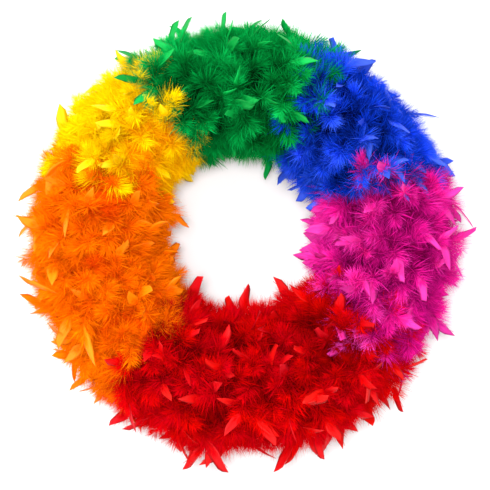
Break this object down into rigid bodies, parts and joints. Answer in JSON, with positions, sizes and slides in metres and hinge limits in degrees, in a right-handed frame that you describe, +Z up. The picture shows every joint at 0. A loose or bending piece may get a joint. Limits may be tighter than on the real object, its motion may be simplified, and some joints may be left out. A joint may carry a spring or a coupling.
{
  "type": "feather boa",
  "caption": "Full six-colour feather boa in rainbow order, laid in a ring with its ends together; it bends along its whole length.",
  "frame": {"origin": "on the surface that the boa lies on, in the middle of the ring's outline", "axes": "+Z up from the surface; the boa's free ends meet at about 33 degrees from +X towards -Y"},
  "size_m": [0.5953, 0.5908, 0.191],
  "materials": {
    "magenta_feathers": "soft fluffy magenta dyed turkey feathers with a silky sheen on the flat tips",
    "magenta_thread": "matte magenta binding thread",
    "blue_feathers": "soft fluffy blue dyed turkey feathers with a silky sheen on the flat tips",
    "blue_thread": "matte blue binding thread",
    "green_feathers": "soft fluffy green dyed turkey feathers with a silky sheen on the flat tips",
    "green_thread": "matte green binding thread",
    "yellow_feathers": "soft fluffy yellow dyed turkey feathers with a silky sheen on the flat tips",
    "yellow_thread": "matte yellow binding thread",
    "orange_feathers": "soft fluffy orange dyed turkey feathers with a silky sheen on the flat tips",
    "orange_thread": "matte orange binding thread",
    "red_feathers": "soft fluffy red dyed turkey feathers with a silky sheen on the flat tips",
    "red_thread": "matte red binding thread",
    "core_cotton": "matte twisted undyed cotton"
  },
  "bodies": {
    "length_magenta_1": {"feather_ruff_magenta_1": "magenta_feathers", "quill_binding_magenta_1": "magenta_thread", "core_cord_magenta_1": "core_cotton", "end_knot_magenta": "core_cotton"},
    "length_magenta_2": {"feather_ruff_magenta_2": "magenta_feathers", "quill_binding_magenta_2": "magenta_thread", "core_cord_magenta_2": "core_cotton"},
    "length_magenta_3": {"feather_ruff_magenta_3": "magenta_feathers", "quill_binding_magenta_3": "magenta_thread", "core_cord_magenta_3": "core_cotton"},
    "length_blue_1": {"feather_ruff_blue_1": "blue_feathers", "quill_binding_blue_1": "blue_thread", "core_cord_blue_1": "core_cotton"},
    "length_blue_2": {"feather_ruff_blue_2": "blue_feathers", "quill_binding_blue_2": "blue_thread", "core_cord_blue_2": "core_cotton"},
    "length_green_1": {"feather_ruff_green_1": "green_feathers", "quill_binding_green_1": "green_thread", "core_cord_green_1": "core_cotton"},
    "length_green_2": {"feather_ruff_green_2": "green_feathers", "quill_binding_green_2": "green_thread", "core_cord_green_2": "core_cotton"},
    "length_green_3": {"feather_ruff_green_3": "green_feathers", "quill_binding_green_3": "green_thread", "core_cord_green_3": "core_cotton"},
    "length_yellow_1": {"feather_ruff_yellow_1": "yellow_feathers", "quill_binding_yellow_1": "yellow_thread", "core_cord_yellow_1": "core_cotton"},
    "length_yellow_2": {"feather_ruff_yellow_2": "yellow_feathers", "quill_binding_yellow_2": "yellow_thread", "core_cord_yellow_2": "core_cotton"},
    "length_orange_1": {"feather_ruff_orange_1": "orange_feathers", "quill_binding_orange_1": "orange_thread", "core_cord_orange_1": "core_cotton"},
    "length_orange_2": {"feather_ruff_orange_2": "orange_feathers", "quill_binding_orange_2": "orange_thread", "core_cord_orange_2": "core_cotton"},
    "length_orange_3": {"feather_ruff_orange_3": "orange_feathers", "quill_binding_orange_3": "orange_thread", "core_cord_orange_3": "core_cotton"},
    "length_orange_4": {"feather_ruff_orange_4": "orange_feathers", "quill_binding_orange_4": "orange_thread", "core_cord_orange_4": "core_cotton"},
    "length_red_1": {"feather_ruff_red_1": "red_feathers", "quill_binding_red_1": "red_thread", "core_cord_red_1": "core_cotton"},
    "length_red_2": {"feather_ruff_red_2": "red_feathers", "quill_binding_red_2": "red_thread", "core_cord_red_2": "core_cotton"},
    "length_red_3": {"feather_ruff_red_3": "red_feathers", "quill_binding_red_3": "red_thread", "core_cord_red_3": "core_cotton"},
    "length_red_4": {"feather_ruff_red_4": "red_feathers", "quill_binding_red_4": "red_thread", "core_cord_red_4": "core_cotton"},
    "length_red_5": {"feather_ruff_red_5": "red_feathers", "quill_binding_red_5": "red_thread", "core_cord_red_5": "core_cotton", "end_knot_red": "core_cotton"}
  },
  "joints": [
    {"name": "bend_magenta_1", "type": "hinge", "parent": "length_magenta_2", "child": "length_magenta_1", "pos_m": [0.18809, -0.04081, 0.08], "axis": [0, 0, 1], "range_deg": [0, 15]},
    {"name": "bend_magenta_2", "type": "hinge", "parent": "length_magenta_3", "child": "length_magenta_2", "pos_m": [0.19307, 0.01899, 0.08], "axis": [0, 0, 1], "range_deg": [0, 26]},
    {"name": "lift_magenta_3", "type": "hinge", "parent": "length_blue_1", "child": "length_magenta_3", "pos_m": [0.17948, 0.07743, 0.08], "axis": [-0.9271, -0.3748, 0], "range_deg": [0, 18]},
    {"name": "bend_blue_1", "type": "hinge", "parent": "length_blue_2", "child": "length_blue_1", "pos_m": [0.14019, 0.13836, 0.08], "axis": [0, 0, 1], "range_deg": [0, 26]},
    {"name": "lift_blue_2", "type": "hinge", "parent": "length_green_1", "child": "length_blue_2", "pos_m": [0.08124, 0.18055, 0.08], "axis": [-0.4193, -0.9079, 0], "range_deg": [0, 18]},
    {"name": "bend_green_1", "type": "hinge", "parent": "length_green_2", "child": "length_green_1", "pos_m": [0.02117, 0.19723, 0.08], "axis": [0, 0, 1], "range_deg": [0, 26]},
    {"name": "bend_green_2", "type": "hinge", "parent": "length_green_3", "child": "length_green_2", "pos_m": [-0.04107, 0.19394, 0.08], "axis": [0, 0, 1], "range_deg": [0, 26]},
    {"name": "lift_green_3", "type": "hinge", "parent": "length_yellow_1", "child": "length_green_3", "pos_m": [-0.09904, 0.17103, 0.08], "axis": [0.5126, -0.8586, 0], "range_deg": [0, 18]},
    {"name": "bend_yellow_1", "type": "hinge", "parent": "length_yellow_2", "child": "length_yellow_1", "pos_m": [-0.14348, 0.13454, 0.08], "axis": [0, 0, 1], "range_deg": [0, 26]},
    {"name": "lift_orange_1", "type": "hinge", "parent": "length_yellow_2", "child": "length_orange_1", "pos_m": [-0.17523, 0.0866, 0.08], "axis": [-0.9065, 0.4222, 0], "range_deg": [0, 18]},
    {"name": "bend_orange_2", "type": "hinge", "parent": "length_orange_1", "child": "length_orange_2", "pos_m": [-0.19192, 0.02819, 0.08], "axis": [0, 0, -1], "range_deg": [0, 26]},
    {"name": "bend_orange_3", "type": "hinge", "parent": "length_orange_2", "child": "length_orange_3", "pos_m": [-0.18966, -0.03252, 0.08], "axis": [0, 0, -1], "range_deg": [0, 26]},
    {"name": "bend_orange_4", "type": "hinge", "parent": "length_orange_3", "child": "length_orange_4", "pos_m": [-0.16869, -0.08954, 0.08], "axis": [0, 0, -1], "range_deg": [0, 26]},
    {"name": "lift_red_1", "type": "hinge", "parent": "length_orange_4", "child": "length_red_1", "pos_m": [-0.13106, -0.13723, 0.08], "axis": [-0.6782, -0.7349, 0], "range_deg": [0, 18]},
    {"name": "bend_red_2", "type": "hinge", "parent": "length_red_1", "child": "length_red_2", "pos_m": [-0.07563, -0.17306, 0.08], "axis": [0, 0, -1], "range_deg": [0, 26]},
    {"name": "bend_red_3", "type": "hinge", "parent": "length_red_2", "child": "length_red_3", "pos_m": [-0.01139, -0.18818, 0.08], "axis": [0, 0, -1], "range_deg": [0, 26]},
    {"name": "bend_red_4", "type": "hinge", "parent": "length_red_3", "child": "length_red_4", "pos_m": [0.0542, -0.18081, 0.08], "axis": [0, 0, -1], "range_deg": [0, 26]},
    {"name": "bend_red_5", "type": "hinge", "parent": "length_red_4", "child": "length_red_5", "pos_m": [0.11349, -0.15182, 0.08], "axis": [0, 0, -1], "range_deg": [0, 15]}
  ]
}
